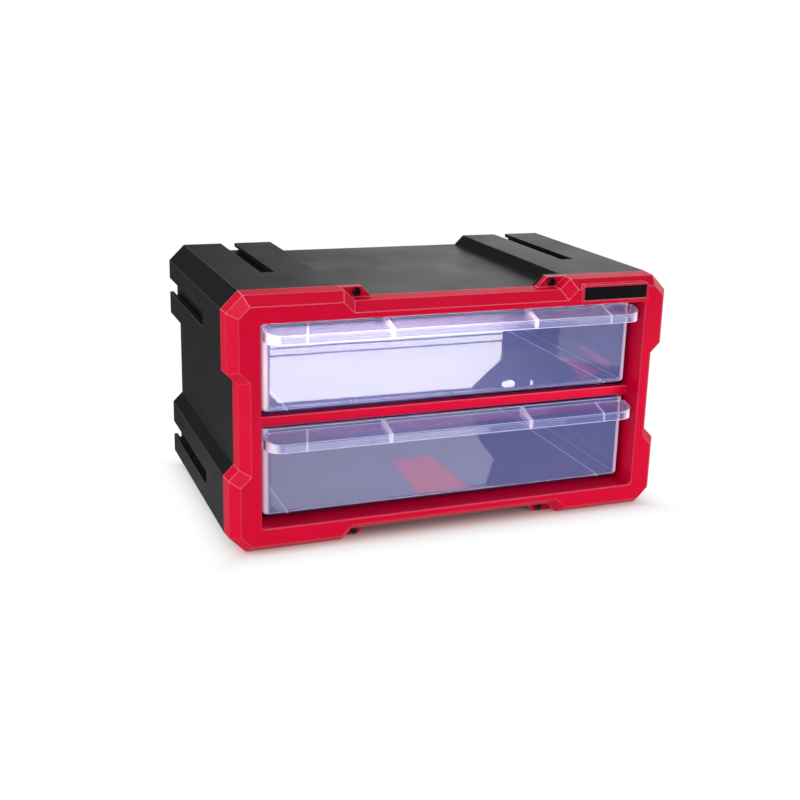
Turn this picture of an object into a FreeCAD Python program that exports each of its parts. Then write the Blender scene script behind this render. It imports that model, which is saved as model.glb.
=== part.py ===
"""Modular drawer unit: a black casing with slotted rails, a red front bezel and two clear drawers.

Millimetres. X runs to the right seen from the front, Y to the rear and Z up.
The origin lies under the middle of the whole unit, on the surface that it stands on.
"""
import FreeCAD, Part
import math
import os
from FreeCAD import Vector

# Whole unit
width = 382.0
height = 208.0
depth = 236.0

# Outline of the casing and the bezel: four corner blocks with set-back middles
corner_chamfer = 13.5
top_block = 93.4
side_block = 61.5
notch = 8.5

# Casing
panel_wall = 2.5
back_wall = 3.0
back_recess = 2.0

# Slots in the outer faces of the corner rails, open at the rear
slot_mouth = 12.5
slot_lip = 3.2
slot_undercut = 3.5
slot_depth = 6.5
slot_length = 143.0
top_slot_inset = 53.5
side_slot_inset = 36.0

# Bezel
lip_reach = 5.3
slope_run = 9.9
slope_inset = 7.3
strip_draft = 1.0
bezel_depth = 24.0
sleeve_reach = 3.0
sleeve_wall = 2.5
shell_wall = 4.0
opening_side = 25.0
opening_bottom = 22.0
opening_top = 21.7
opening_radius = 3.0
edge_round = 0.9

# Ears of the bezel, the lugs behind them and the screws that join the two
ear_width = 16.6
ear_thickness = 5.0
lug_thickness = 4.0
weld = 1.5
screw_radius = 1.9
screw_head_radius = 3.3
screw_head_height = 2.8
screw_bite = 3.5
screw_clearance = 0.05
recess_length = 4.2
recess_width = 0.9
recess_depth = 1.2

# Name-plate pad at the top right of the bezel
pad_side_inset = 23.0
pad_length = 63.5
pad_top_inset = 4.7
pad_height = 14.0
pad_rise = 1.0
pad_corner = 2.5
plate_margin = 2.0
plate_bottom_margin = 1.4
plate_length = 59.0
plate_height = 10.6
plate_thickness = 0.9
plate_clearance = 0.15

# Crossbar between the two bays
crossbar_height = 8.2
crossbar_setback = 19.6
crossbar_round = 0.7
hook_thickness = 2.5

# Drawers and the gaps round them in the bezel's opening
drawer_side_gap = 4.7
drawer_floor_gap = 4.0
drawer_crossbar_gap = 0.8
drawer_top_gap = 2.1
drawer_wall = 2.2
drawer_setback = 15.0
drawer_rear_gap = 1.0
drawer_corner = 6.0
drawer_floor_round = 4.5
floor_line_inset = 20.0
floor_line_width = 1.0
floor_line_height = 0.4
travel = 165.0
stop_height = 3.6
stop_length = 4.0
stop_clearance = 0.3

# Pull lip along the top of each drawer front
lip_overhang = 0.7
lip_wall = 1.9
lip_drop = 3.0
lip_front_drop = 6.9
flange_height = 7.0
lip_corner = 13.0
gusset_place = 62.0
gusset_thickness = 2.4
gusset_proud = 0.8
gusset_heel = 10.2
gusset_toe = 12.2
bead_inset = 30.7
left_bead_slant = 6.0
right_bead_slant = 2.0
bead_width = 1.0
bead_height = 0.5

# Runners that carry the drawers
runner_reach = 30.0
runner_wall = 2.5
runner_height = 14.0
runner_gap = 0.2
guide_gap = 0.8
brace_count = 4
brace_wall = 2.0
runner_screw_radius = 1.5
runner_screw_head_radius = 3.0
runner_screw_head_height = 1.8
runner_screw_bite = 2.1
runner_screw_spread = 120.0

half_width = width / 2
mid_z = height / 2
front_y = -depth / 2
rear_y = depth / 2
face_y = front_y + lip_reach
bezel_rear_y = face_y + bezel_depth
sleeve_rear_y = bezel_rear_y + sleeve_reach
back_face_y = rear_y - back_recess - back_wall
inner_x = half_width - notch - panel_wall
inner_low_z = notch + panel_wall
inner_high_z = height - notch - panel_wall
opening_x = half_width - opening_side
opening_high_z = height - opening_top
drawer_half_width = opening_x - drawer_side_gap
bays_height = opening_high_z - opening_bottom - crossbar_height - drawer_crossbar_gap - drawer_top_gap
drawer_height = bays_height / 2 - drawer_floor_gap
lower_base = opening_bottom + drawer_floor_gap
crossbar_bottom = lower_base + drawer_height + drawer_crossbar_gap
upper_base = crossbar_bottom + crossbar_height + drawer_floor_gap
bases = (lower_base, upper_base)
pad_right = half_width - pad_side_inset
pad_left = pad_right - pad_length
pad_top = height - pad_top_inset
pad_bottom = pad_top - pad_height
corner_slip = math.sqrt(2) - 1


def corner_points(inset):
    """Six points of the right upper corner block, from its middle-top end to its middle-side end.

    A level edge moves in by inset, so its ends on the 45 degree edges slip by inset * (sqrt(2) - 1).
    """
    slip = inset * corner_slip
    top = height - inset
    side = half_width - inset
    return [
        (half_width - top_block - notch + slip, top - notch),
        (half_width - top_block + slip, top),
        (half_width - corner_chamfer - slip, top),
        (side, height - corner_chamfer - slip),
        (side, height - side_block + slip),
        (side - notch, height - side_block - notch + slip),
    ]


def flip(points, right, upper):
    """The same points in another quarter of the outline, mirrored about the middle."""
    turned = [(x if right else -x, z if upper else height - z) for x, z in points]
    return turned


def outline(inset):
    """The whole outline, moved in by inset, clockwise from the top."""
    block = corner_points(inset)
    ring = flip(block, True, True)
    ring += flip(block[::-1], True, False)
    ring += flip(block, False, False)
    ring += flip(block[::-1], False, True)
    return ring


def wire_at(points, y):
    """A closed wire through (x, z) points in the plane at y."""
    corners = [Vector(x, y, z) for x, z in points]
    return Part.makePolygon(corners + corners[:1])


def prism(points, y0, y1):
    """A solid with a polygon of (x, z) points as its section, from y0 to y1."""
    return Part.Face(wire_at(points, y0)).extrude(Vector(0, y1 - y0, 0))


def frustum(points0, y0, points1, y1):
    """A solid that runs from one polygon of (x, z) points to another with as many points."""
    return Part.makeLoft([wire_at(points0, y0), wire_at(points1, y1)], True, True)


def block(x0, x1, y0, y1, z0, z1):
    """A box between two corners."""
    return Part.makeBox(x1 - x0, y1 - y0, z1 - z0, Vector(x0, y0, z0))


def rod_y(radius, x, y0, y1, z):
    """A cylinder along Y."""
    return Part.makeCylinder(radius, y1 - y0, Vector(x, y0, z), Vector(0, 1, 0))


def rounded_block(x0, x1, y0, y1, z0, z1, radius, axis):
    """A box whose four edges along one axis ("y" or "z") are rounded."""
    solid = block(x0, x1, y0, y1, z0, z1)
    along = {"y": Vector(0, 1, 0), "z": Vector(0, 0, 1)}[axis]
    edges = [e for e in solid.Edges if abs(e.tangentAt(e.FirstParameter).dot(along)) > 0.99]
    return solid.makeFillet(radius, edges)


def mirrored(shape):
    """The shape's twin on the other side of the middle plane X = 0."""
    return shape.mirror(Vector(0, 0, 0), Vector(1, 0, 0))


def upside_down(shape):
    """The shape's twin in the other half of the height."""
    return shape.mirror(Vector(0, 0, mid_z), Vector(0, 0, 1))


def save(shape, name):
    """Write one node, without leftover seams, and print what it holds."""
    clean = shape.removeSplitter()
    solids = clean.Solids
    kept = solids[0] if len(solids) == 1 else Part.makeCompound(solids)
    kept.exportStep("parts/" + name + ".step")
    litres = round(kept.Volume / 1e6, 4)
    print(name, "solids", len(solids), "valid", kept.isValid(), "litres", litres)


# Casing

def ear_points():
    """Slanted outline that fills the step between a corner block and the set-back middle."""
    low_end, high_end = corner_points(0)[:2]
    return [
        high_end,
        (high_end[0] - ear_width, high_end[1]),
        (low_end[0] - ear_width, low_end[1]),
        low_end,
    ]


def ear_centre():
    """The screw's place in the right upper ear, as (x, z)."""
    points = ear_points()
    return sum(x for x, z in points) / 4, sum(z for x, z in points) / 4


def slot_cutter():
    """Undercut slot for the right upper rail's top face, with its mouth up and open at the rear."""
    centre = half_width - top_slot_inset
    y0 = rear_y - slot_length
    y1 = rear_y + 1
    mouth = block(centre - slot_mouth / 2, centre + slot_mouth / 2, y0, y1, height - slot_depth, height + 1)
    wide = slot_mouth / 2 + slot_undercut
    low = block(centre - wide, centre + wide, y0, y1, height - slot_depth, height - slot_lip)
    return mouth.fuse(low)


def side_slot_cutter():
    """The same slot for the right upper rail's side face, with its mouth to the right."""
    cutter = slot_cutter()
    cutter.translate(Vector(top_slot_inset - half_width, 0, -height))
    cutter.rotate(Vector(0, 0, 0), Vector(0, 1, 0), 90)
    cutter.translate(Vector(half_width, 0, height - side_slot_inset))
    return cutter


def right_upper_rail():
    """L-shaped corner rail with a slot in each outer face and a lug for the bezel's screw."""
    points = corner_points(0)
    section = points + [(inner_x, points[-1][1]), (inner_x, inner_high_z), (points[0][0], inner_high_z)]
    rail = prism(section, bezel_rear_y, rear_y)
    rail = rail.fuse(prism(ear_points(), bezel_rear_y, bezel_rear_y + lug_thickness))
    x, z = ear_centre()
    pilot = rod_y(screw_radius + screw_clearance, x, bezel_rear_y, bezel_rear_y + lug_thickness, z)
    return rail.cut(slot_cutter()).cut(side_slot_cutter()).cut(pilot)


def top_panel():
    """Set-back panel between the two upper rails."""
    reach = corner_points(0)[0][0]
    return block(-reach, reach, bezel_rear_y, rear_y, inner_high_z, height - notch)


def right_panel():
    """Set-back panel between the two right-hand rails."""
    top = corner_points(0)[-1][1]
    return block(inner_x, half_width - notch, bezel_rear_y, rear_y, height - top, top)


def back_panel():
    """Rear wall, set in between the rails and panels."""
    return block(-inner_x, inner_x, back_face_y, rear_y - back_recess, inner_low_z, inner_high_z)


# Bezel

def opening_block(outset, y0, y1):
    """The bezel's opening, made larger by outset, as a solid from y0 to y1."""
    return rounded_block(
        -opening_x - outset, opening_x + outset, y0, y1,
        opening_bottom - outset, opening_high_z + outset, opening_radius + outset, "y",
    )


def pad():
    """Raised pad for the name plate, over the bezel's face and its slope."""
    c = pad_corner
    points = [
        (pad_left, pad_bottom),
        (pad_right, pad_bottom),
        (pad_right, pad_top - c),
        (pad_right - c, pad_top),
        (pad_left + c, pad_top),
        (pad_left, pad_top - c),
    ]
    return prism(points, face_y - pad_rise, face_y + slope_run)


def name_plate():
    """Bare name plate, set flush into the pad."""
    x0 = pad_left + plate_margin
    z0 = pad_bottom + plate_bottom_margin
    y0 = face_y - pad_rise
    return block(x0, x0 + plate_length, y0, y0 + plate_thickness, z0, z0 + plate_height)


def plate_pocket():
    """The place in the pad for the name plate, with a small gap round it."""
    x0 = pad_left + plate_margin - plate_clearance
    z0 = pad_bottom + plate_bottom_margin - plate_clearance
    y0 = face_y - pad_rise
    wide = plate_length + 2 * plate_clearance
    tall = plate_height + 2 * plate_clearance
    return block(x0, x0 + wide, y0 - 1, y0 + plate_thickness, z0, z0 + tall)


def bezel_ear():
    """Right upper ear, sunk a little into the bezel so that the two are one piece."""
    a, b, c, d = ear_points()
    points = [(a[0] + weld, a[1]), b, c, (c[0], c[1] - weld), (d[0] + weld, d[1] - weld)]
    return prism(points, bezel_rear_y - ear_thickness, bezel_rear_y)


def front_bezel():
    """Red front frame: a slope round a flat face, a band round the outside and a sleeve inside."""
    inner = strip_draft + slope_inset
    slope = frustum(outline(inner), face_y, outline(strip_draft), face_y + slope_run)
    band = frustum(outline(strip_draft), face_y + slope_run, outline(0), bezel_rear_y)
    frame = slope.fuse(band)
    y0 = face_y + slope_run
    hollow = prism(outline(shell_wall), y0, bezel_rear_y).cut(opening_block(sleeve_wall, y0, bezel_rear_y))
    frame = frame.cut(hollow)
    frame = frame.fuse(opening_block(sleeve_wall, bezel_rear_y - sleeve_wall, sleeve_rear_y))
    frame = frame.cut(opening_block(0, face_y - 1, sleeve_rear_y + 1))
    frame = frame.cut(hook_plate()).removeSplitter()
    frame = frame.makeFillet(edge_round, opening_front_edges(frame))
    ear = bezel_ear()
    for solid in (ear, mirrored(ear), upside_down(ear), upside_down(mirrored(ear))):
        frame = frame.fuse(solid)
    frame = frame.fuse(pad())
    frame = frame.cut(plate_pocket())
    for x, z in screw_places():
        hole = rod_y(screw_radius + screw_clearance, x, bezel_rear_y - ear_thickness, bezel_rear_y, z)
        frame = frame.cut(hole)
    return frame


def opening_front_edges(frame):
    """The edges round the mouth of the opening, in the plane of the bezel's face."""
    found = []
    for edge in frame.Edges:
        box = edge.BoundBox
        flat = abs(box.YMin - face_y) < 1e-6 and abs(box.YMax - face_y) < 1e-6
        inside = max(abs(box.XMin), abs(box.XMax)) < opening_x + 1e-6
        low = box.ZMin > opening_bottom - 1e-6 and box.ZMax < opening_high_z + 1e-6
        if flat and inside and low:
            found.append(edge)
    return found


def screw_places():
    """The four bezel screws as (x, z)."""
    x, z = ear_centre()
    return [(x, z), (-x, z), (x, height - z), (-x, height - z)]


def pan_screw(radius, head_radius, head_height, length):
    """Pan-head screw along Y: its head lies in front of y = 0 and its shank behind."""
    shank = Part.makeCylinder(radius, length, Vector(0, 0, 0), Vector(0, 1, 0))
    head = Part.makeCylinder(head_radius, head_height, Vector(0, 0, 0), Vector(0, -1, 0))
    rim = [e for e in head.Edges if e.Closed and abs(e.BoundBox.YMin + head_height) < 1e-6]
    head = head.makeFillet(head_height * 0.45, rim)
    half = recess_length / 2
    y0 = -head_height - 1
    y1 = -head_height + recess_depth
    cross = block(-half, half, y0, y1, -recess_width / 2, recess_width / 2)
    cross = cross.fuse(block(-recess_width / 2, recess_width / 2, y0, y1, -half, half))
    return head.cut(cross).fuse(shank)


def bezel_screws():
    """The four screws that hold the bezel to the rails' lugs."""
    screws = []
    for x, z in screw_places():
        screw = pan_screw(screw_radius, screw_head_radius, screw_head_height, ear_thickness + screw_bite)
        screw.translate(Vector(x, bezel_rear_y - ear_thickness, z))
        screws.append(screw)
    return Part.makeCompound(screws)


def hook_plate():
    """Rear layer of the crossbar, whose ends lie in notches in the sleeve's side walls."""
    reach = opening_x + sleeve_wall
    z1 = crossbar_bottom + crossbar_height
    return block(-reach, reach, sleeve_rear_y - hook_thickness, sleeve_rear_y, crossbar_bottom, z1)


def crossbar():
    """Recessed bar between the bays, held from behind by its two ends."""
    y0 = face_y + crossbar_setback
    z1 = crossbar_bottom + crossbar_height
    bar = block(-opening_x, opening_x, y0, sleeve_rear_y, crossbar_bottom, z1)
    long_front = []
    for edge in bar.Edges:
        box = edge.BoundBox
        if abs(box.YMax - y0) < 1e-6 and box.XLength > opening_x:
            long_front.append(edge)
    bar = bar.makeFillet(crossbar_round, long_front)
    return bar.fuse(hook_plate())


# Drawers

def tray(base):
    """Open tray with rounded upright corners, an outer floor edge that is rounded and a sharp inner one."""
    y0 = face_y + drawer_setback
    y1 = back_face_y - drawer_rear_gap
    top = base + drawer_height
    outer = rounded_block(-drawer_half_width, drawer_half_width, y0, y1, base, top, drawer_corner, "z")
    outer = round_floor(outer, base, drawer_floor_round)
    t = drawer_wall
    x = drawer_half_width - t
    inner = rounded_block(-x, x, y0 + t, y1 - t, base + t, top + 1, drawer_corner - t, "z")
    return outer.cut(inner)


def floor_line(base):
    """Fine raised line along the right of the tray's floor, from the front wall to the rear wall."""
    x = drawer_half_width - floor_line_inset
    half = floor_line_width / 2
    y0 = face_y + drawer_setback + drawer_wall / 2
    y1 = back_face_y - drawer_rear_gap - drawer_wall / 2
    z = base + drawer_wall
    return block(x - half, x + half, y0, y1, z - drawer_wall / 2, z + floor_line_height)


def round_floor(solid, z, radius):
    """Round the edges of a solid that lie at height z."""
    edges = [e for e in solid.Edges if abs(e.BoundBox.ZMin - z) < 1e-6 and abs(e.BoundBox.ZMax - z) < 1e-6]
    return solid.makeFillet(radius, edges)


def prism_x(points, x0, x1):
    """A solid with a polygon of (y, z) points as its section, from x0 to x1."""
    corners = [Vector(x0, y, z) for y, z in points]
    return Part.Face(Part.makePolygon(corners + corners[:1])).extrude(Vector(x1 - x0, 0, 0))


def lip_body(base, shrink):
    """Solid under the lip's slanted top, moved in by shrink from the front, the ends and the top.

    Its floor is the lower edge of the flange, and its front corners are rounded in plan.
    """
    top = base + drawer_height
    y0 = face_y - lip_reach + gusset_proud + shrink
    y1 = face_y + drawer_setback
    slope = (lip_front_drop - lip_drop) / (drawer_setback + lip_reach - gusset_proud)
    cover = shrink * math.sqrt(1 + slope * slope)
    rear_z = top - lip_drop - cover
    front_z = rear_z - slope * (y1 - y0)
    low_z = top - lip_front_drop - flange_height
    x = drawer_half_width + lip_overhang - shrink
    section = prism_x([(y0, low_z), (y1, low_z), (y1, rear_z), (y0, front_z)], -x, x)
    plan = block(-x, x, y0, y1, low_z, top)
    corners = [e for e in plan.Edges if e.BoundBox.ZLength > 1 and abs(e.BoundBox.YMin - y0) < 1e-6]
    return section.common(plan.makeFillet(lip_corner - shrink, corners))


def pull_lip(base):
    """Thin slanted lip with a flange along its front and ends, on a drawer's front wall."""
    outer = lip_body(base, 0)
    inner = lip_body(base, lip_wall)
    lip = outer.cut(inner)
    return lip


def gusset(base):
    """Web that braces the lip against the front wall, standing a little proud of the lip."""
    top = base + drawer_height
    y0 = face_y - lip_reach
    y1 = face_y + drawer_setback
    toe_z = top - gusset_toe
    points = [
        (y1, top),
        (y1, top - gusset_heel),
        (y0 + gusset_proud, toe_z),
        (y0, toe_z + gusset_proud),
        (y0, top - lip_front_drop + gusset_proud),
    ]
    half = gusset_thickness / 2
    return prism_x(points, gusset_place - half, gusset_place + half)


def bead(base, side, slant):
    """Fine raised line over the lip and down its flange, on the right (side 1) or the left (side -1).

    Its rear end lies to the right of its front end by slant.
    """
    outer = lip_body(base, -bead_height)
    cutter = lip_body(base, lip_wall / 2)
    low_z = base + drawer_height - lip_front_drop - flange_height
    x = side * (drawer_half_width + lip_overhang - bead_inset)
    half = bead_width / 2
    front = face_y - lip_reach
    rear = face_y + drawer_setback
    plan = [(x - half, front), (x + half, front), (x + half + slant, rear), (x - half + slant, rear)]
    corners = [Vector(px, py, low_z) for px, py in plan]
    strip = Part.Face(Part.makePolygon(corners + corners[:1])).extrude(Vector(0, 0, height - low_z))
    return outer.common(strip).cut(cutter)


def stop_tab(base):
    """Tab on the right side wall that meets the crossbar or the sleeve above when the drawer is out."""
    y0 = sleeve_rear_y + travel + stop_clearance
    top = base + drawer_height
    x1 = drawer_half_width
    return block(x1 - drawer_wall, x1, y0, y0 + stop_length, top - 1, top + stop_height)


def drawer(base):
    """One clear drawer in one piece."""
    solid = tray(base).fuse(pull_lip(base))
    for detail in (gusset(base), stop_tab(base), floor_line(base)):
        solid = solid.fuse(detail)
        solid = solid.fuse(mirrored(detail))
    solid = solid.fuse(bead(base, 1, right_bead_slant))
    return solid.fuse(bead(base, -1, left_bead_slant))


# Runners

def runner_screw_ys():
    """Places along Y of the two screws in a runner."""
    middle = (sleeve_rear_y + back_face_y) / 2
    return [middle - runner_screw_spread / 2, middle + runner_screw_spread / 2]


def runner_screw_z(base):
    """Height of a runner's screws, in the middle of its upright flange."""
    return base - runner_gap + runner_height / 2


def right_runner(base):
    """Ledge under a drawer's right edge, with a guide wall, a screwed flange and braces between them."""
    y0 = sleeve_rear_y
    y1 = back_face_y
    top = base - runner_gap
    guide_x = drawer_half_width + guide_gap
    flange_x = inner_x - runner_wall
    runner = block(inner_x - runner_reach, inner_x, y0, y1, top - runner_wall, top)
    high = top + runner_height
    runner = runner.fuse(block(guide_x, guide_x + runner_wall, y0, y1, top, high))
    runner = runner.fuse(block(flange_x, inner_x, y0, y1, top, high))
    for index in range(brace_count):
        y = y0 + (y1 - y0 - brace_wall) * index / (brace_count - 1)
        runner = runner.fuse(block(guide_x, inner_x, y, y + brace_wall, top, high - runner_wall))
    return runner.cut(runner_holes(base, flange_x, inner_x))


def runner_holes(base, x0, x1):
    """Holes for a right runner's screws from x0 to x1."""
    radius = runner_screw_radius + screw_clearance
    holes = []
    for y in runner_screw_ys():
        start = Vector(x0, y, runner_screw_z(base))
        holes.append(Part.makeCylinder(radius, x1 - x0, start, Vector(1, 0, 0)))
    return Part.makeCompound(holes)


def runner_screws():
    """The screws that hold the four runners to the casing's sides."""
    length = runner_wall + runner_screw_bite
    head_radius = runner_screw_head_radius
    screws = []
    for base in bases:
        for y in runner_screw_ys():
            screw = pan_screw(runner_screw_radius, head_radius, runner_screw_head_height, length)
            screw.rotate(Vector(0, 0, 0), Vector(0, 0, 1), -90)
            screw.translate(Vector(inner_x - runner_wall, y, runner_screw_z(base)))
            screws += [screw, mirrored(screw)]
    return Part.makeCompound(screws)


pilot_end = inner_x + runner_screw_bite + screw_clearance

os.makedirs("parts", exist_ok=True)

rail = right_upper_rail()
lower_rail = upside_down(rail).cut(runner_holes(lower_base, inner_x, pilot_end))
save(rail, "top_right_rail")
save(mirrored(rail), "top_left_rail")
save(lower_rail, "bottom_right_rail")
save(mirrored(lower_rail), "bottom_left_rail")

side = right_panel().cut(runner_holes(upper_base, inner_x, pilot_end))
save(top_panel(), "top_panel")
save(upside_down(top_panel()), "bottom_panel")
save(side, "right_panel")
save(mirrored(side), "left_panel")
save(back_panel(), "back_panel")

save(front_bezel(), "front_bezel")
save(crossbar(), "crossbar")
save(name_plate(), "name_plate")
save(bezel_screws(), "bezel_screws")

for label, base in zip(("lower", "upper"), bases):
    runner = right_runner(base)
    save(runner, label + "_right_runner")
    save(mirrored(runner), label + "_left_runner")
    save(drawer(base), label + "_drawer")
save(runner_screws(), "runner_screws")
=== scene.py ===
# %% [markdown]
# A small parts cabinet: a black moulded casing, a red front bezel and two clear drawers.
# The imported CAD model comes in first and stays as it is. Everything else is dressed round it, in metres.
# X runs to the right of someone who faces the drawers, Y to the rear and Z up.

# %% Load the fixed frame
import bpy
import math
import numpy as np
from mathutils import Matrix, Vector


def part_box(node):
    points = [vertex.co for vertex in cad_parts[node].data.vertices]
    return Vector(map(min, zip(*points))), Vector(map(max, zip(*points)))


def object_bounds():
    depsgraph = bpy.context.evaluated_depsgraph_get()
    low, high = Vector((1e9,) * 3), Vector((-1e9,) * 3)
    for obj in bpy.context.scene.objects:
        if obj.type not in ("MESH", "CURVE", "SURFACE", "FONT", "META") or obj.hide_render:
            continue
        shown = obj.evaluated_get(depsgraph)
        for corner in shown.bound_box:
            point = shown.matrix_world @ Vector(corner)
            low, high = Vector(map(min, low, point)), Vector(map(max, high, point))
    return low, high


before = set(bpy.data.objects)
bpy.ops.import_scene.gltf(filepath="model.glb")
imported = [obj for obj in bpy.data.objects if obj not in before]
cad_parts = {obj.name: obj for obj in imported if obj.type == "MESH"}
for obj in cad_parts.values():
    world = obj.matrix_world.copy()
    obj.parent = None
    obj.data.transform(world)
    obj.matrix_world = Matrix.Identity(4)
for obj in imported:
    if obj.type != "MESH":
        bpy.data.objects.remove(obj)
cad_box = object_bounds()
half_width, half_depth = cad_box[1].x, cad_box[1].y

# %% [markdown]
# Two places of the drawers are needed again further down, by their finish and by the reflections in them.
# The outer face of their front walls stands a little ahead of the crossbar, so it is measured from that.
# Under each lip two upright webs stand on either side of the middle.

# %% Places on the drawers

WALL_AHEAD_OF_BAR = 0.0046
WEB_X = 0.062
WEB_HALF_THICKNESS = 0.0014
front_wall_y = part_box("crossbar")[0].y - WALL_AHEAD_OF_BAR
print("front walls at y =", round(front_wall_y, 4), "webs at x = +-", WEB_X)

# %% [markdown]
# Colours are read off as sRGB hex values, but shaders work in linear light, so one function turns them.
# A second small function adds a shader node with its settings and links, and every finish is built with it.
# Two more do sums with Math nodes, so that a mask reads like the formula that it follows.

# %% Colour and node helpers


def linear(code):
    """sRGB hex to linear RGBA: value / 12.92 near black, ((value + 0.055) / 1.055) ** 2.4 above."""
    s = np.array([int(code[i:i + 2], 16) for i in (1, 3, 5)]) / 255
    low = s / 12.92
    high = ((s + 0.055) / 1.055) ** 2.4
    return tuple(float(v) for v in np.where(s <= 0.04045, low, high)) + (1.0,)


def put(tree, kind, inputs=None, **settings):
    """Add one shader node. An input given as a socket is linked, any other is set on the node itself."""
    made = tree.nodes.new("ShaderNode" + kind)
    for name, value in settings.items():
        setattr(made, name, value)
    for name, value in (inputs or {}).items():
        if isinstance(value, bpy.types.NodeSocket):
            tree.links.new(value, made.inputs[name])
        else:
            made.inputs[name].default_value = value
    return made


def calculate(tree, operation, *values):
    """The result of one Math node. Each value is a socket or a number."""
    return put(tree, "Math", dict(enumerate(values)), operation=operation).outputs["Value"]


def multiply(tree, first, second):
    """Product of two sockets, or of a socket and a number."""
    return calculate(tree, "MULTIPLY", first, second)


def blank(name):
    """A material with an empty tree and its output node."""
    material = bpy.data.materials.new(name)
    material.use_nodes = True
    material.node_tree.nodes.clear()
    return material, material.node_tree, material.node_tree.nodes.new("ShaderNodeOutputMaterial")


print("the bezel's red in linear light:", linear("#DA0030"))

# %% [markdown]
# The bezel and crossbar are injection-moulded ABS, coloured through and left satin by the tool's spark-eroded
# face. That gives a soft sheen, a grain of a few tenths of a millimetre and slightly softened edges.
# The casing and the runners are moulded too, so one function with a few settings serves them all.
# The real edges are rounded. A Bevel node does that in the shading alone, which keeps the CAD shape as it is,
# and the same node tells where an edge lies, so that a highlight can be painted along it in a paler colour.

# %% Moulded plastic


def crease_mask(tree, radius_mm, shallow, deep):
    """Rounded normal, and a mask that is 0 on a flat face and 1 at a deep crease.

    The mask comes from the dot product of the rounded normal and the face's own, which falls below 1 at
    a crease. It starts where that product reaches shallow, and is full where it reaches deep.
    """
    rounded = put(tree, "Bevel", {"Radius": radius_mm / 1000.0}, samples=4).outputs["Normal"]
    flat = put(tree, "NewGeometry").outputs["True Normal"]
    level = put(tree, "VectorMath", {0: rounded, 1: flat}, operation="DOT_PRODUCT").outputs["Value"]
    mask = put(tree, "MapRange", {"Value": level, "From Min": shallow, "From Max": deep})
    return rounded, mask.outputs["Result"]


def moulded_plastic(name, shade, cloud, edge_highlight, grain_mm, grain_depth_mm, roughness, edge_mm,
                    ior=1.54, sheen=0.5):
    """Satin moulded plastic: a faint cloudiness in the colour, a fine grain and softened, paler edges.

    Each edge has a highlight painted on it in a paler colour. It is palest where the edge looks upwards,
    where it would catch the light. Its share of the painted highlight colour is the crease mask times a ramp
    over the rounded normal's z, from 0.2 at z = 0.1 to 1 at z = 0.7.
    sheen is the strength of the reflection, where 0.5 is all that the index of refraction gives.
    """
    material, tree, out = blank(name)
    coords = put(tree, "TexCoord").outputs["Object"]
    clouds = put(tree, "TexNoise", {"Vector": coords, "Scale": 22.0, "Detail": 3.0})
    colour = put(tree, "Mix", {"Factor": clouds.outputs["Fac"], 6: linear(shade), 7: linear(cloud)},
                 data_type="RGBA")
    grain = put(tree, "TexNoise", {"Vector": coords, "Scale": 1000.0 / grain_mm, "Detail": 2.0})
    gloss = put(tree, "MapRange", {"Value": clouds.outputs["Fac"], "From Min": 0.3, "From Max": 0.7,
                                   "To Min": roughness - 0.03, "To Max": roughness + 0.03})
    rounded, crease = crease_mask(tree, edge_mm, shallow=0.985, deep=0.93)
    facing = put(tree, "SeparateXYZ", {"Vector": rounded})
    upward = put(tree, "MapRange", {"Value": facing.outputs["Z"], "From Min": 0.1, "From Max": 0.7,
                                    "To Min": 0.2})
    # Painted highlight: the edge's share of the paler colour, largest where the edge faces up.
    edge = multiply(tree, crease, upward.outputs["Result"])
    colour = put(tree, "Mix", {"Factor": edge, 6: colour.outputs[2], 7: linear(edge_highlight)}, data_type="RGBA")
    bump = put(tree, "Bump", {"Height": grain.outputs["Fac"], "Strength": 0.35,
                              "Distance": grain_depth_mm / 1000.0, "Normal": rounded})
    skin = put(tree, "BsdfPrincipled", {"Base Color": colour.outputs[2], "Roughness": gloss.outputs["Result"],
                                        "IOR": ior, "Specular IOR Level": sheen,
                                        "Normal": bump.outputs["Normal"]})
    tree.links.new(skin.outputs["BSDF"], out.inputs["Surface"])
    return material


# The third, pale colour of each finish is a highlight painted along its edges.
red_abs = moulded_plastic("red_moulded_abs", shade="#DA0030", cloud="#DE0237", edge_highlight="#FFB4CA",
                          grain_mm=0.5, grain_depth_mm=0.05, roughness=0.34, edge_mm=1.2, sheen=0.1)
panel_pp = moulded_plastic("black_moulded_polypropylene", shade="#161617", cloud="#1A1A1C", edge_highlight="#606064",
                           grain_mm=0.7, grain_depth_mm=0.08, roughness=0.42, edge_mm=0.6,
                           ior=1.49, sheen=0.36)
rail_pp = moulded_plastic("black_rail_polypropylene", shade="#151516", cloud="#19191B", edge_highlight="#808084",
                          grain_mm=0.7, grain_depth_mm=0.08, roughness=0.46, edge_mm=0.7,
                          ior=1.49, sheen=0.4)
runner_pom = moulded_plastic("black_runner_acetal", shade="#131315", cloud="#17171A", edge_highlight="#2A2A2D",
                             grain_mm=0.4, grain_depth_mm=0.03, roughness=0.30, edge_mm=0.3, ior=1.48)
print("moulded plastics:", red_abs.name, panel_pp.name, rail_pp.name, runner_pom.name)

# %% [markdown]
# The plate on the bezel's pad is a thin printed label. It is left bare here: a flat near-black satin sheet
# with the light orange-peel of ink on film, which is the moulded finish with a coarser and shallower grain.

# %% Bare plate

# Its third, paler colour is a highlight painted along its edges, as on the other moulded finishes.
plate_film = moulded_plastic("bare_black_label_film", shade="#141013", cloud="#191417", edge_highlight="#2C2429",
                             grain_mm=1.2, grain_depth_mm=0.02, roughness=0.28, edge_mm=0.15,
                             ior=1.5, sheen=0.3)
print("plate finish:", plate_film.name)

# %% [markdown]
# The screws are steel with a black oxide finish. Oxide is thin, so the metal still shows through as a dark
# sheen that is uneven over a few tenths of a millimetre. A fully metallic shader with a dark colour gives
# that, and one noise drives both its colour and its roughness.

# %% Black oxide steel


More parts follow.
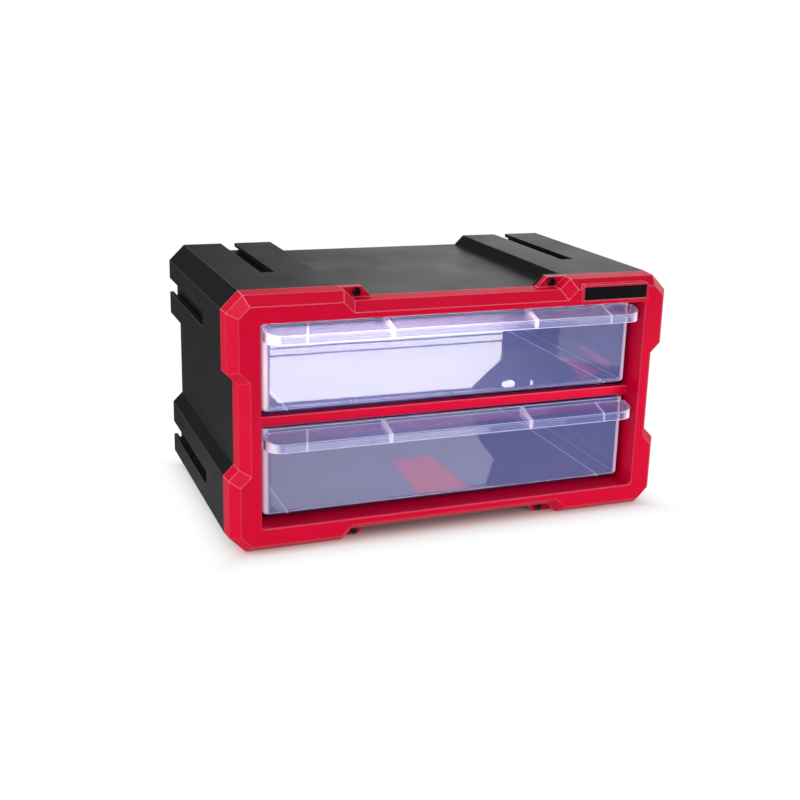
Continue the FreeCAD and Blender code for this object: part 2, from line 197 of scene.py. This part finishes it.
def black_oxide():
    """Dark metal with patchy roughness, from 0.28 to 0.5 as the noise runs from 0 to 1."""
    material, tree, out = blank("black_oxide_steel")
    coords = put(tree, "TexCoord").outputs["Object"]
    patches = put(tree, "TexNoise", {"Vector": coords, "Scale": 1500.0, "Detail": 3.0})
    gloss = put(tree, "MapRange", {"Value": patches.outputs["Fac"], "To Min": 0.28, "To Max": 0.5})
    colour = put(tree, "Mix", {"Factor": patches.outputs["Fac"], 6: linear("#3A3A40"), 7: linear("#5A5A62")},
                 data_type="RGBA")
    skin = put(tree, "BsdfPrincipled", {"Base Color": colour.outputs[2], "Metallic": 1.0,
                                        "Roughness": gloss.outputs["Result"]})
    tree.links.new(skin.outputs["BSDF"], out.inputs["Surface"])
    return material


screw_steel = black_oxide()
print("screw finish:", screw_steel.name)

# %% [markdown]
# The drawers are clear polycarbonate with a violet tinge, moulded with polished walls. Light goes through,
# bends at each face and picks up a little colour. Straight shadow rays can't bend, so for them the wall
# is plainly see-through, and the inside of the drawer stays as bright as it is in life.
# Light that is piped along a wall comes out at its edges. Tracing that would take very many bounces, so it is
# painted instead: the edges, the upright corners at the front and the webs are mixed with a pale plastic that
# glows faintly, a painted highlight and glow.

# %% Clear drawer plastic

CLEAR_IOR = 1.57
HAZE_SHARE = 0.165
CORNER_SHARE = 0.7
WEB_SHARE = 0.35
JUST_AHEAD = 0.0001


def painted_glow_share(tree, coords):
    """Share of pale plastic: the largest of an edge mask, a corner mask and a web mask.

    The pale plastic in these places is painted light, a highlight with a faint glow. The corner mask is (2 nx
    ny)^2 times CORNER_SHARE, with the normal's x and y: 0 on the flat walls and full halfway round an upright
    corner. It holds in the front half only. The web mask is WEB_SHARE where |x| is WEB_X give or take
    WEB_HALF_THICKNESS, ahead of the front wall.
    """
    edge = crease_mask(tree, radius_mm=1.0, shallow=0.985, deep=0.8)[1]
    facing = put(tree, "SeparateXYZ", {"Vector": put(tree, "NewGeometry").outputs["Normal"]})
    corner = multiply(tree, facing.outputs["X"], facing.outputs["Y"])
    corner = multiply(tree, corner, corner)
    corner = put(tree, "MapRange", {"Value": corner, "From Max": 0.25, "To Max": CORNER_SHARE})
    spot = put(tree, "SeparateXYZ", {"Vector": coords})
    front_half = calculate(tree, "LESS_THAN", spot.outputs["Y"], 0.0)
    corner = multiply(tree, corner.outputs["Result"], front_half)
    across = calculate(tree, "ABSOLUTE", spot.outputs["X"])
    web = calculate(tree, "COMPARE", across, WEB_X, WEB_HALF_THICKNESS)
    ahead = calculate(tree, "LESS_THAN", spot.outputs["Y"], front_wall_y - JUST_AHEAD)
    web = multiply(tree, multiply(tree, web, ahead), WEB_SHARE)
    return calculate(tree, "MAXIMUM", calculate(tree, "MAXIMUM", edge, corner), web)


def clear_plastic():
    """Clear tinted plastic: a refracting shader with a slight haze, pale where light leaves it."""
    material, tree, out = blank("clear_violet_polycarbonate")
    coords = put(tree, "TexCoord").outputs["Object"]
    flow = put(tree, "TexNoise", {"Vector": coords, "Scale": 14.0, "Detail": 2.0})
    gloss = put(tree, "MapRange", {"Value": flow.outputs["Fac"], "To Min": 0.0, "To Max": 0.03})
    bump = put(tree, "Bump", {"Height": flow.outputs["Fac"], "Strength": 0.1, "Distance": 0.0003})
    glass = put(tree, "BsdfPrincipled", {"Base Color": linear("#F6F6FD"), "IOR": CLEAR_IOR,
                                         "Roughness": gloss.outputs["Result"], "Specular IOR Level": 0.6,
                                         "Transmission Weight": 1.0, "Normal": bump.outputs["Normal"]})
    haze = put(tree, "BsdfDiffuse", {"Color": linear("#AEB6FF")})
    skin = put(tree, "MixShader", {"Fac": HAZE_SHARE, 1: glass.outputs["BSDF"], 2: haze.outputs["BSDF"]})
    # Painted light: this pale plastic with a faint glow is the highlight painted on the edges, front corners
    # and webs.
    pale = put(tree, "BsdfPrincipled", {"Base Color": linear("#FFF8FF"), "Roughness": 0.25, "IOR": CLEAR_IOR,
                                        "Emission Color": linear("#F4E6FF"), "Emission Strength": 0.3})
    wall = put(tree, "MixShader", {"Fac": painted_glow_share(tree, coords), 1: skin.outputs["Shader"],
                                   2: pale.outputs["BSDF"]})
    clear = put(tree, "BsdfTransparent", {"Color": linear("#DAD9F5")})
    path = put(tree, "LightPath")
    both = put(tree, "MixShader", {"Fac": path.outputs["Is Shadow Ray"], 1: wall.outputs["Shader"],
                                   2: clear.outputs["BSDF"]})
    tree.links.new(both.outputs["Shader"], out.inputs["Surface"])
    return material


drawer_clear = clear_plastic()
print("drawer finish:", drawer_clear.name)

# %% [markdown]
# Each CAD node keeps its shape and gets its finish in its material slots.
# A dictionary from node to finish shows at a glance what each piece of the cabinet is made of.

# %% Dress the CAD nodes

finishes = {
    "top_left_rail": rail_pp, "top_right_rail": rail_pp, "bottom_left_rail": rail_pp,
    "bottom_right_rail": rail_pp, "top_panel": panel_pp, "bottom_panel": panel_pp,
    "left_panel": panel_pp, "right_panel": panel_pp, "back_panel": panel_pp,
    "front_bezel": red_abs, "crossbar": red_abs, "name_plate": plate_film,
    "bezel_screws": screw_steel, "runner_screws": screw_steel,
    "upper_left_runner": runner_pom, "upper_right_runner": runner_pom,
    "lower_left_runner": runner_pom, "lower_right_runner": runner_pom,
    "upper_drawer": drawer_clear, "lower_drawer": drawer_clear,
}
for name, finish in finishes.items():
    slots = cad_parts[name].data.materials
    slots.clear()
    slots.append(finish)
print("dressed", len(finishes), "of", len(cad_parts), "nodes")

# %% [markdown]
# The camera stands in front, to the left and above, as in a catalogue photo. Its place, turns and focal
# length were solved from the object's own corners. The frame is 800 x 800 pixels.
# The camera starts level and looks along +Y. It turns by yaw, tips down by pitch and then rolls.

# %% Camera

PIXELS = 800
SENSOR_MM = 36.0
focal_px = 1200.19
centre_px = (430.0, 385.0)
yaw, pitch, roll = 0.3951, 0.2820, 0.0325
camera_place = (-0.38214, -0.96065, 0.39491)

turn = np.array([[math.cos(yaw), math.sin(yaw), 0], [-math.sin(yaw), math.cos(yaw), 0], [0, 0, 1]])
tip = np.array([[1, 0, 0], [0, math.cos(pitch), math.sin(pitch)], [0, -math.sin(pitch), math.cos(pitch)]])
aim = turn @ tip
right = aim @ np.array([math.cos(roll), 0, math.sin(roll)])
up = aim @ np.array([-math.sin(roll), 0, math.cos(roll)])
back = -(aim @ np.array([0, 1, 0]))


def stand(thing, x_axis, y_axis, z_axis, at):
    """Place a camera or a lamp: its three axes and its place are the columns of its matrix."""
    pose = np.eye(4)
    pose[:3, 0], pose[:3, 1], pose[:3, 2], pose[:3, 3] = x_axis, y_axis, z_axis, at
    thing.matrix_world = Matrix(pose.tolist())


lens = bpy.data.cameras.new("camera")
lens.sensor_width = SENSOR_MM
lens.lens = focal_px / PIXELS * SENSOR_MM
lens.shift_x = (PIXELS / 2 - centre_px[0]) / PIXELS
lens.shift_y = (centre_px[1] - PIXELS / 2) / PIXELS
camera = bpy.data.objects.new("camera", lens)
bpy.context.scene.collection.objects.link(camera)
stand(camera, right, up, back, camera_place)
bpy.context.scene.camera = camera
print("lens", round(lens.lens, 2), "mm, shift", lens.shift_x, lens.shift_y)

# %% [markdown]
# The floor is a wide pale disc. Under and close to the object it is plain white card that takes the shadow.
# A little way off it fades to pure white for the camera, so that no horizon shows. Light Path tells the
# kinds of ray apart: the camera and the clear walls see pure white while every gloss sees a dimmer floor.

# %% Floor

FADE_START, FADE_END = -0.03, 0.02
FRONT_FAR, FRONT_NEAR = -0.7, -0.25
SIDE_REAR, SIDE_FRONT = 0.25, 0.05
FLOOR_DIM, FLOOR_LIT = 0.13, 0.3


def disc(name, radius, rings, spokes):
    """Flat disc: x = r cos a, y = r sin a, with r growing as the square of the ring number."""
    r = radius * np.linspace(0, 1, rings)[1:] ** 2
    a = np.linspace(0, 2 * math.pi, spokes, endpoint=False)
    rr, aa = np.meshgrid(r, a, indexing="ij")
    ring = np.stack([rr * np.cos(aa), rr * np.sin(aa), np.zeros_like(rr)], axis=-1).reshape(-1, 3)
    points = np.vstack([[[0, 0, 0]], ring])
    i = np.arange(spokes)
    j = (i + 1) % spokes
    faces = [tuple(f) for f in np.stack([np.zeros_like(i), 1 + i, 1 + j], axis=1).tolist()]
    k = np.arange(len(r) - 1)[:, None] * spokes
    quads = np.stack([1 + k + i, 1 + k + spokes + i, 1 + k + spokes + j, 1 + k + j], axis=-1).reshape(-1, 4)
    faces += [tuple(f) for f in quads.tolist()]
    mesh = bpy.data.meshes.new(name)
    mesh.from_pydata(points.tolist(), [], faces)
    thing = bpy.data.objects.new(name, mesh)
    bpy.context.scene.collection.objects.link(thing)
    return thing


def white_card():
    """White card that takes the shadow near the object, pure white from FADE_END off its outline.

    The distance is that to the object's rectangle on the floor, max(|x| - half width, |y| - half depth).
    Only the camera and clear plastic see the pure white. A gloss sees a dim floor, which is lighter beside
    the object and in front of it.
    """
    material, tree, out = blank("white_card")
    coords = put(tree, "TexCoord").outputs["Object"]
    spot = put(tree, "SeparateXYZ", {"Vector": coords})
    reach = []
    for axis, half in (("X", half_width), ("Y", half_depth)):
        reach.append(calculate(tree, "SUBTRACT", calculate(tree, "ABSOLUTE", spot.outputs[axis]), half))
    away = calculate(tree, "MAXIMUM", *reach)
    fade = put(tree, "MapRange", {"Value": away, "From Min": FADE_START, "From Max": FADE_END},
               interpolation_type="SMOOTHSTEP")
    along = spot.outputs["Y"]
    ahead = put(tree, "MapRange", {"Value": along, "From Min": FRONT_FAR, "From Max": FRONT_NEAR})
    beside = put(tree, "MapRange", {"Value": along, "From Min": SIDE_REAR, "From Max": SIDE_FRONT})
    near = calculate(tree, "MINIMUM", ahead.outputs["Result"], beside.outputs["Result"])
    lit = put(tree, "MapRange", {"Value": near, "To Min": FLOOR_DIM, "To Max": FLOOR_LIT})
    path = put(tree, "LightPath")
    gloss = path.outputs["Is Glossy Ray"]
    seen = calculate(tree, "MAXIMUM", path.outputs["Is Camera Ray"], path.outputs["Is Transmission Ray"])
    share = calculate(tree, "MAXIMUM", multiply(tree, seen, fade.outputs["Result"]), gloss)
    level = put(tree, "Mix", {"Factor": gloss, 2: 1.0, 3: lit.outputs["Result"]}, data_type="FLOAT")
    card_face = put(tree, "BsdfDiffuse", {"Color": linear("#F4F4F4")})
    white = put(tree, "Emission", {"Color": (1, 1, 1, 1), "Strength": level.outputs[0]})
    both = put(tree, "MixShader", {"Fac": share, 1: card_face.outputs["BSDF"], 2: white.outputs["Emission"]})
    tree.links.new(both.outputs["Shader"], out.inputs["Surface"])
    return material


floor = disc("floor", radius=6.0, rings=12, spokes=64)
floor.data.materials.append(white_card())
print("floor points", len(floor.data.vertices))

# %% [markdown]
# The room round the object is white for the camera and gives a soft, even light. Black plastic would look
# flat in an even room, so every gloss sees another one: dim, with a bright patch to the right and rear,
# low over the horizon. The patch is what makes the top panel lighter than the side.

# %% Room

ROOM_LIGHT = 0.6
DIM_GLOSS, BRIGHT_GLOSS = 0.08, 2.75
patch_ramps = (("X", 0.13, 0.44), ("Y", 0.2, 0.7), ("Z", 0.45, 0.0))

world = bpy.data.worlds.new("studio")
bpy.context.scene.world = world
world.use_nodes = True
sky = world.node_tree
sky.nodes.clear()
rays = put(sky, "LightPath")
bearing = put(sky, "SeparateXYZ", {"Vector": put(sky, "TexCoord").outputs["Generated"]})
across, along, height = [
    put(sky, "MapRange", {"Value": bearing.outputs[axis], "From Min": dark, "From Max": full},
        interpolation_type="SMOOTHSTEP").outputs["Result"]
    for axis, dark, full in patch_ramps]
bright_patch = multiply(sky, multiply(sky, across, along), height)
gloss_level = put(sky, "MapRange", {"Value": bright_patch, "To Min": DIM_GLOSS, "To Max": BRIGHT_GLOSS})
shown = calculate(sky, "MAXIMUM", rays.outputs["Is Camera Ray"], rays.outputs["Is Transmission Ray"])
plain_level = put(sky, "MapRange", {"Value": shown, "To Min": ROOM_LIGHT, "To Max": 1.0})
level = put(sky, "Mix", {"Factor": rays.outputs["Is Glossy Ray"], 2: plain_level.outputs["Result"],
                         3: gloss_level.outputs["Result"]}, data_type="FLOAT")
backdrop = put(sky, "Background", {"Color": (1, 1, 1, 1), "Strength": level.outputs[0]})
put(sky, "OutputWorld", {"Surface": backdrop.outputs["Background"]})
bpy.context.scene.view_settings.view_transform = "Standard"
print("room light", ROOM_LIGHT, "gloss from", DIM_GLOSS, "to", BRIGHT_GLOSS)

# %% [markdown]
# A lamp that suits the casing can wash out the clear walls, and one small lip may need a lamp of its own.
# Light linking keeps a lamp or a card to the objects of one collection, so four collections are made first.
# They sort the objects for the lamps only, and nothing is moved or hidden.

# %% Collections for light linking


def group(name, members):
    """A collection that only serves light linking."""
    made = bpy.data.collections.new(name)
    for thing in members:
        made.objects.link(thing)
    return made


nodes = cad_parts
drawers_only = group("drawers_only", [nodes[name] for name in nodes if name.endswith("_drawer")])
all_but_drawers = group("all_but_drawers",
                        [floor] + [nodes[name] for name in nodes if not name.endswith("_drawer")])
upper_only = group("upper_only", [nodes["upper_drawer"]])
bar_only = group("bar_only", [nodes["crossbar"]])

# %% [markdown]
# Eight area lamps light it, as softboxes do in a studio. Large ones at the left, at the front right and
# overhead give the plain level, and a smaller one brightens the upper left.
# The other four lift one place each: the right of the front, its lower edge, the crossbar and the upper lip.

# %% Softboxes


def softbox(name, at, towards, width, height, watts, mirrored=True, receivers=None):
    """Rectangular area light at one point that faces another.

    Its z axis points from the target back to the lamp, its x axis is level, and y is z cross x.
    It can be left out of reflections, and it can be kept to the objects of one collection.
    """
    lamp = bpy.data.lights.new(name, "AREA")
    lamp.shape = "RECTANGLE"
    lamp.size = width
    lamp.size_y = height
    lamp.energy = watts
    thing = bpy.data.objects.new(name, lamp)
    bpy.context.scene.collection.objects.link(thing)
    z = np.array(at, float) - np.array(towards, float)
    z /= np.linalg.norm(z)
    x = np.cross([0, 0, 1], z)
    x /= np.linalg.norm(x)
    stand(thing, x, np.cross(z, x), z, at)
    thing.visible_glossy = mirrored
    thing.light_linking.receiver_collection = receivers
    return thing


lip_light_colour = (1.0, 0.87, 0.52)
lamps = [
    softbox("key_left", (-1.6, -0.35, 0.5), (0, 0, 0.1), width=1.0, height=1.0, watts=7.8,
            receivers=all_but_drawers),
    softbox("fill_right", (1.2, -1.6, 0.35), (0, 0, 0.1), width=1.0, height=0.7, watts=3.6, mirrored=False),
    softbox("low_right", (0.33, -0.32, 0.09), (0.17, -0.11, 0.07), width=0.2, height=0.08, watts=0.13,
            mirrored=False),
    softbox("low_front", (0.0, -0.30, 0.03), (0.0, -0.11, 0.025), width=0.4, height=0.03, watts=0.09,
            mirrored=False),
    softbox("high_left", (-0.9, -0.2, 1.1), (-0.15, -0.1, 0.15), width=0.25, height=0.25, watts=2.0,
            receivers=all_but_drawers),
    softbox("bar_light", (0.3, -0.7, 0.4), (0.02, -0.1, 0.104), width=0.5, height=0.3, watts=1.8,
            mirrored=False, receivers=bar_only),
    softbox("top", (0.1, 0.2, 1.5), (0.05, 0.1, 0.1), width=1.2, height=0.8, watts=1.5, mirrored=False),
    softbox("lip_light", (-0.09, -0.165, 0.222), (-0.09, -0.107, 0.178), width=0.24, height=0.012, watts=0.36,
            mirrored=False, receivers=upper_only),
]
lip_light = lamps[-1]
lip_light.data.color = lip_light_colour
lip_light.visible_camera = False
lip_light.visible_transmission = False
for lamp in lamps:
    print("softbox", lamp.name, round(lamp.data.energy, 2), "W")

# %% [markdown]
# Polished plastic shows what stands in front of it: here a bright panel, a paler one on the floor, patches of
# red and a few small lights. Flat glowing cards give those reflections without lighting anything else. Only
# the gloss of the drawers sees them, and one more card is for the crossbar's sheen.

# %% Reflector cards

TWO_PLATES = 4
HALF_STEP = 0.5


def card(name, sheets, shade, glow, receivers, bounces=1, deep_glow=None):
    """Flat glowing sheets, each a list of corner points, that only some objects see, and only as a gloss.

    Reflections after more than the given number of bounces don't show the card. The deep glow, if there is
    one, is what a ray sees that has come through two plates of plastic, so through at least four faces.
    Depths are whole numbers, so each limit lies half a step off one.
    """
    mesh = bpy.data.meshes.new(name)
    points = [tuple(c) for sheet in sheets for c in sheet]
    ends = np.cumsum([0] + [len(sheet) for sheet in sheets])
    faces = [tuple(range(a, b)) for a, b in zip(ends[:-1].tolist(), ends[1:].tolist())]
    mesh.from_pydata(points, [], faces)
    thing = bpy.data.objects.new(name, mesh)
    bpy.context.scene.collection.objects.link(thing)
    material, tree, out = blank(name + "_glow")
    path = put(tree, "LightPath")
    depth = path.outputs["Glossy Depth"]
    mirrored = calculate(tree, "GREATER_THAN", depth, HALF_STEP)
    early = calculate(tree, "LESS_THAN", depth, bounces + HALF_STEP)
    plates = calculate(tree, "GREATER_THAN", path.outputs["Transmission Depth"], TWO_PLATES - HALF_STEP)
    far_glow = glow if deep_glow is None else deep_glow
    power = put(tree, "MapRange", {"Value": plates, "To Min": glow, "To Max": far_glow})
    light = put(tree, "Emission", {"Color": linear(shade), "Strength": power.outputs["Result"]})
    through = put(tree, "BsdfTransparent")
    sheet_mix = put(tree, "MixShader", {"Fac": multiply(tree, mirrored, early), 1: through.outputs["BSDF"],
                                        2: light.outputs["Emission"]})
    tree.links.new(sheet_mix.outputs["Shader"], out.inputs["Surface"])
    mesh.materials.append(material)
    thing.visible_camera = False
    thing.visible_diffuse = False
    thing.visible_shadow = False
    thing.light_linking.receiver_collection = receivers
    return thing


STANDING_Y = -0.46
GLINT_Y = -0.40
LYING_Z = 0.001
RED_Z = 0.002
camera_behind = np.array([camera_place[0], 2 * front_wall_y - camera_place[1], camera_place[2]])


def bounced(spots, axis, plane):
    """Where the view lines that meet the front wall at each spot (x, z) land, after bouncing, on a plane.

    The bounced line is the straight line from the camera's mirror image behind the wall, through the spot.
    """
    landed = []
    for x, z in spots:
        hit = np.array([x, front_wall_y, z])
        t = (plane - camera_behind[axis]) / (hit - camera_behind)[axis]
        landed.append(camera_behind + t * (hit - camera_behind))
    return landed


def standing(spots, at_y=STANDING_Y):
    """Corners of an upright card that faces the drawers."""
    return bounced(spots, 1, at_y)


def lying(spots, at_z):
    """Corners of a card that lies on the floor in front."""
    return bounced(spots, 2, at_z)


print("the camera's mirror image stands at", camera_behind.round(3))

# %% [markdown]
# Each card is drawn as the patch that it should show on the front wall, in metres across and up, and the
# functions above find where such a card must stand. Two narrow gaps in the bright panel show as fine lines.
# The lip stands ahead of the wall, with faces of its own that mirror each other. So it gets four more cards,
# that also show in later reflections, up to the fourth.

# %% Cards for the upper drawer

CARD_LEFT, CARD_RIGHT, LIP_RIGHT = -0.161, 0.041, 0.162
LIP_CREASE, LIP_TOP = 0.1786, 0.192


def band(left, right, low, high):
    """Rectangle on the wall, as four spots."""
    return [(left, high), (right, high), (right, low), (left, low)]


panel_foot = [(CARD_LEFT, 0.1564), (CARD_RIGHT, 0.1564), (CARD_RIGHT, 0.141), (0.0145, 0.1185),
              (-0.149, 0.1195), (-0.157, 0.129)]
panel_patches = [band(CARD_LEFT, CARD_RIGHT, 0.1636, 0.1654), band(CARD_LEFT, CARD_RIGHT, 0.1576, 0.1624),
                 panel_foot]
cards = [card("standing_card", [standing(patch) for patch in panel_patches], "#FFFAF8", 9.3, drawers_only)]
for name, patch, glow, deep_glow in (
        ("lip_front_card", band(CARD_LEFT, CARD_RIGHT, 0.1654, LIP_CREASE), 2.0, 9.0),
        ("lip_top_card", band(CARD_LEFT, CARD_RIGHT, LIP_CREASE, LIP_TOP), 8.0, None),
        ("lip_front_right_card", band(CARD_RIGHT, LIP_RIGHT, 0.1676, LIP_CREASE), 0.8, 2.5),
        ("lip_top_right_card", band(CARD_RIGHT, LIP_RIGHT, LIP_CREASE, LIP_TOP), 6.0, None)):
    cards.append(card(name, [standing(patch)], "#FFF8FA", glow, drawers_only, bounces=4, deep_glow=deep_glow))
for thing in cards:
    print(thing.name, len(thing.data.polygons), "sheets")

# %% [markdown]
# The lower drawer shows a paler panel that lies on the floor, with a strip of red over it. The upper one
# also shows two slanted red streaks. The glints are small lights, each an ellipse of twelve points.
# The crossbar's front has a pale sheen from a card that lies in front of the cabinet.

# %% Cards for the lower drawer, the glints and the crossbar

GLINT_POINTS = 12
pale_patch = [(-0.162, 0.099), (0.018, 0.099), (0.023, 0.074), (0.0385, 0.054), (0.032, 0.032),
              (-0.148, 0.029), (-0.162, 0.041)]
red_patch = [(-0.0525, 0.062), (-0.019, 0.0625), (0.0225, 0.026), (-0.0275, 0.026)]
red_streaks = [
    [(0.0985, 0.1375), (0.1055, 0.1380), (0.1350, 0.1250), (0.1220, 0.1145), (0.1135, 0.1215)],
    [(0.1140, 0.1465), (0.1195, 0.1465), (0.1455, 0.1305), (0.1460, 0.1240), (0.1315, 0.1325)],
]
bar_sheet = [(-0.2, -0.34, LYING_Z), (0.55, -0.34, LYING_Z), (0.75, -0.7, LYING_Z), (0.0, -0.7, LYING_Z)]


def ellipse(x, z, half_x, half_z):
    """Points at x + half_x cos a, z + half_z sin a."""
    turns = np.linspace(0, 2 * math.pi, GLINT_POINTS, endpoint=False)
    return [(x + half_x * math.cos(a), z + half_z * math.sin(a)) for a in turns]


glints = [
    ellipse(0.0490, 0.1190, 0.0062, 0.0034),
    ellipse(0.0705, 0.1185, 0.0013, 0.0022),
    ellipse(-0.0845, 0.1235, 0.0009, 0.0009),
    ellipse(0.0680, 0.0360, 0.0013, 0.0014),
    ellipse(-0.0895, 0.0365, 0.0010, 0.0012),
]
more_cards = [
    card("lying_card", [lying(pale_patch, LYING_Z)], "#FFFAF6", 2.3, drawers_only),
    card("red_card", [lying(red_patch, RED_Z)], "#FF9B84", 5.0, drawers_only),
    card("red_bars", [standing(streak) for streak in red_streaks], "#FF2848", 1.6, drawers_only),
    card("glint_card", [standing(glint, GLINT_Y) for glint in glints], "#FFFFFF", 11.0, drawers_only),
    card("bar_card", [bar_sheet], "#FFE6F6", 5.0, bar_only),
]
for thing in more_cards:
    print(thing.name, len(thing.data.polygons), "sheets")
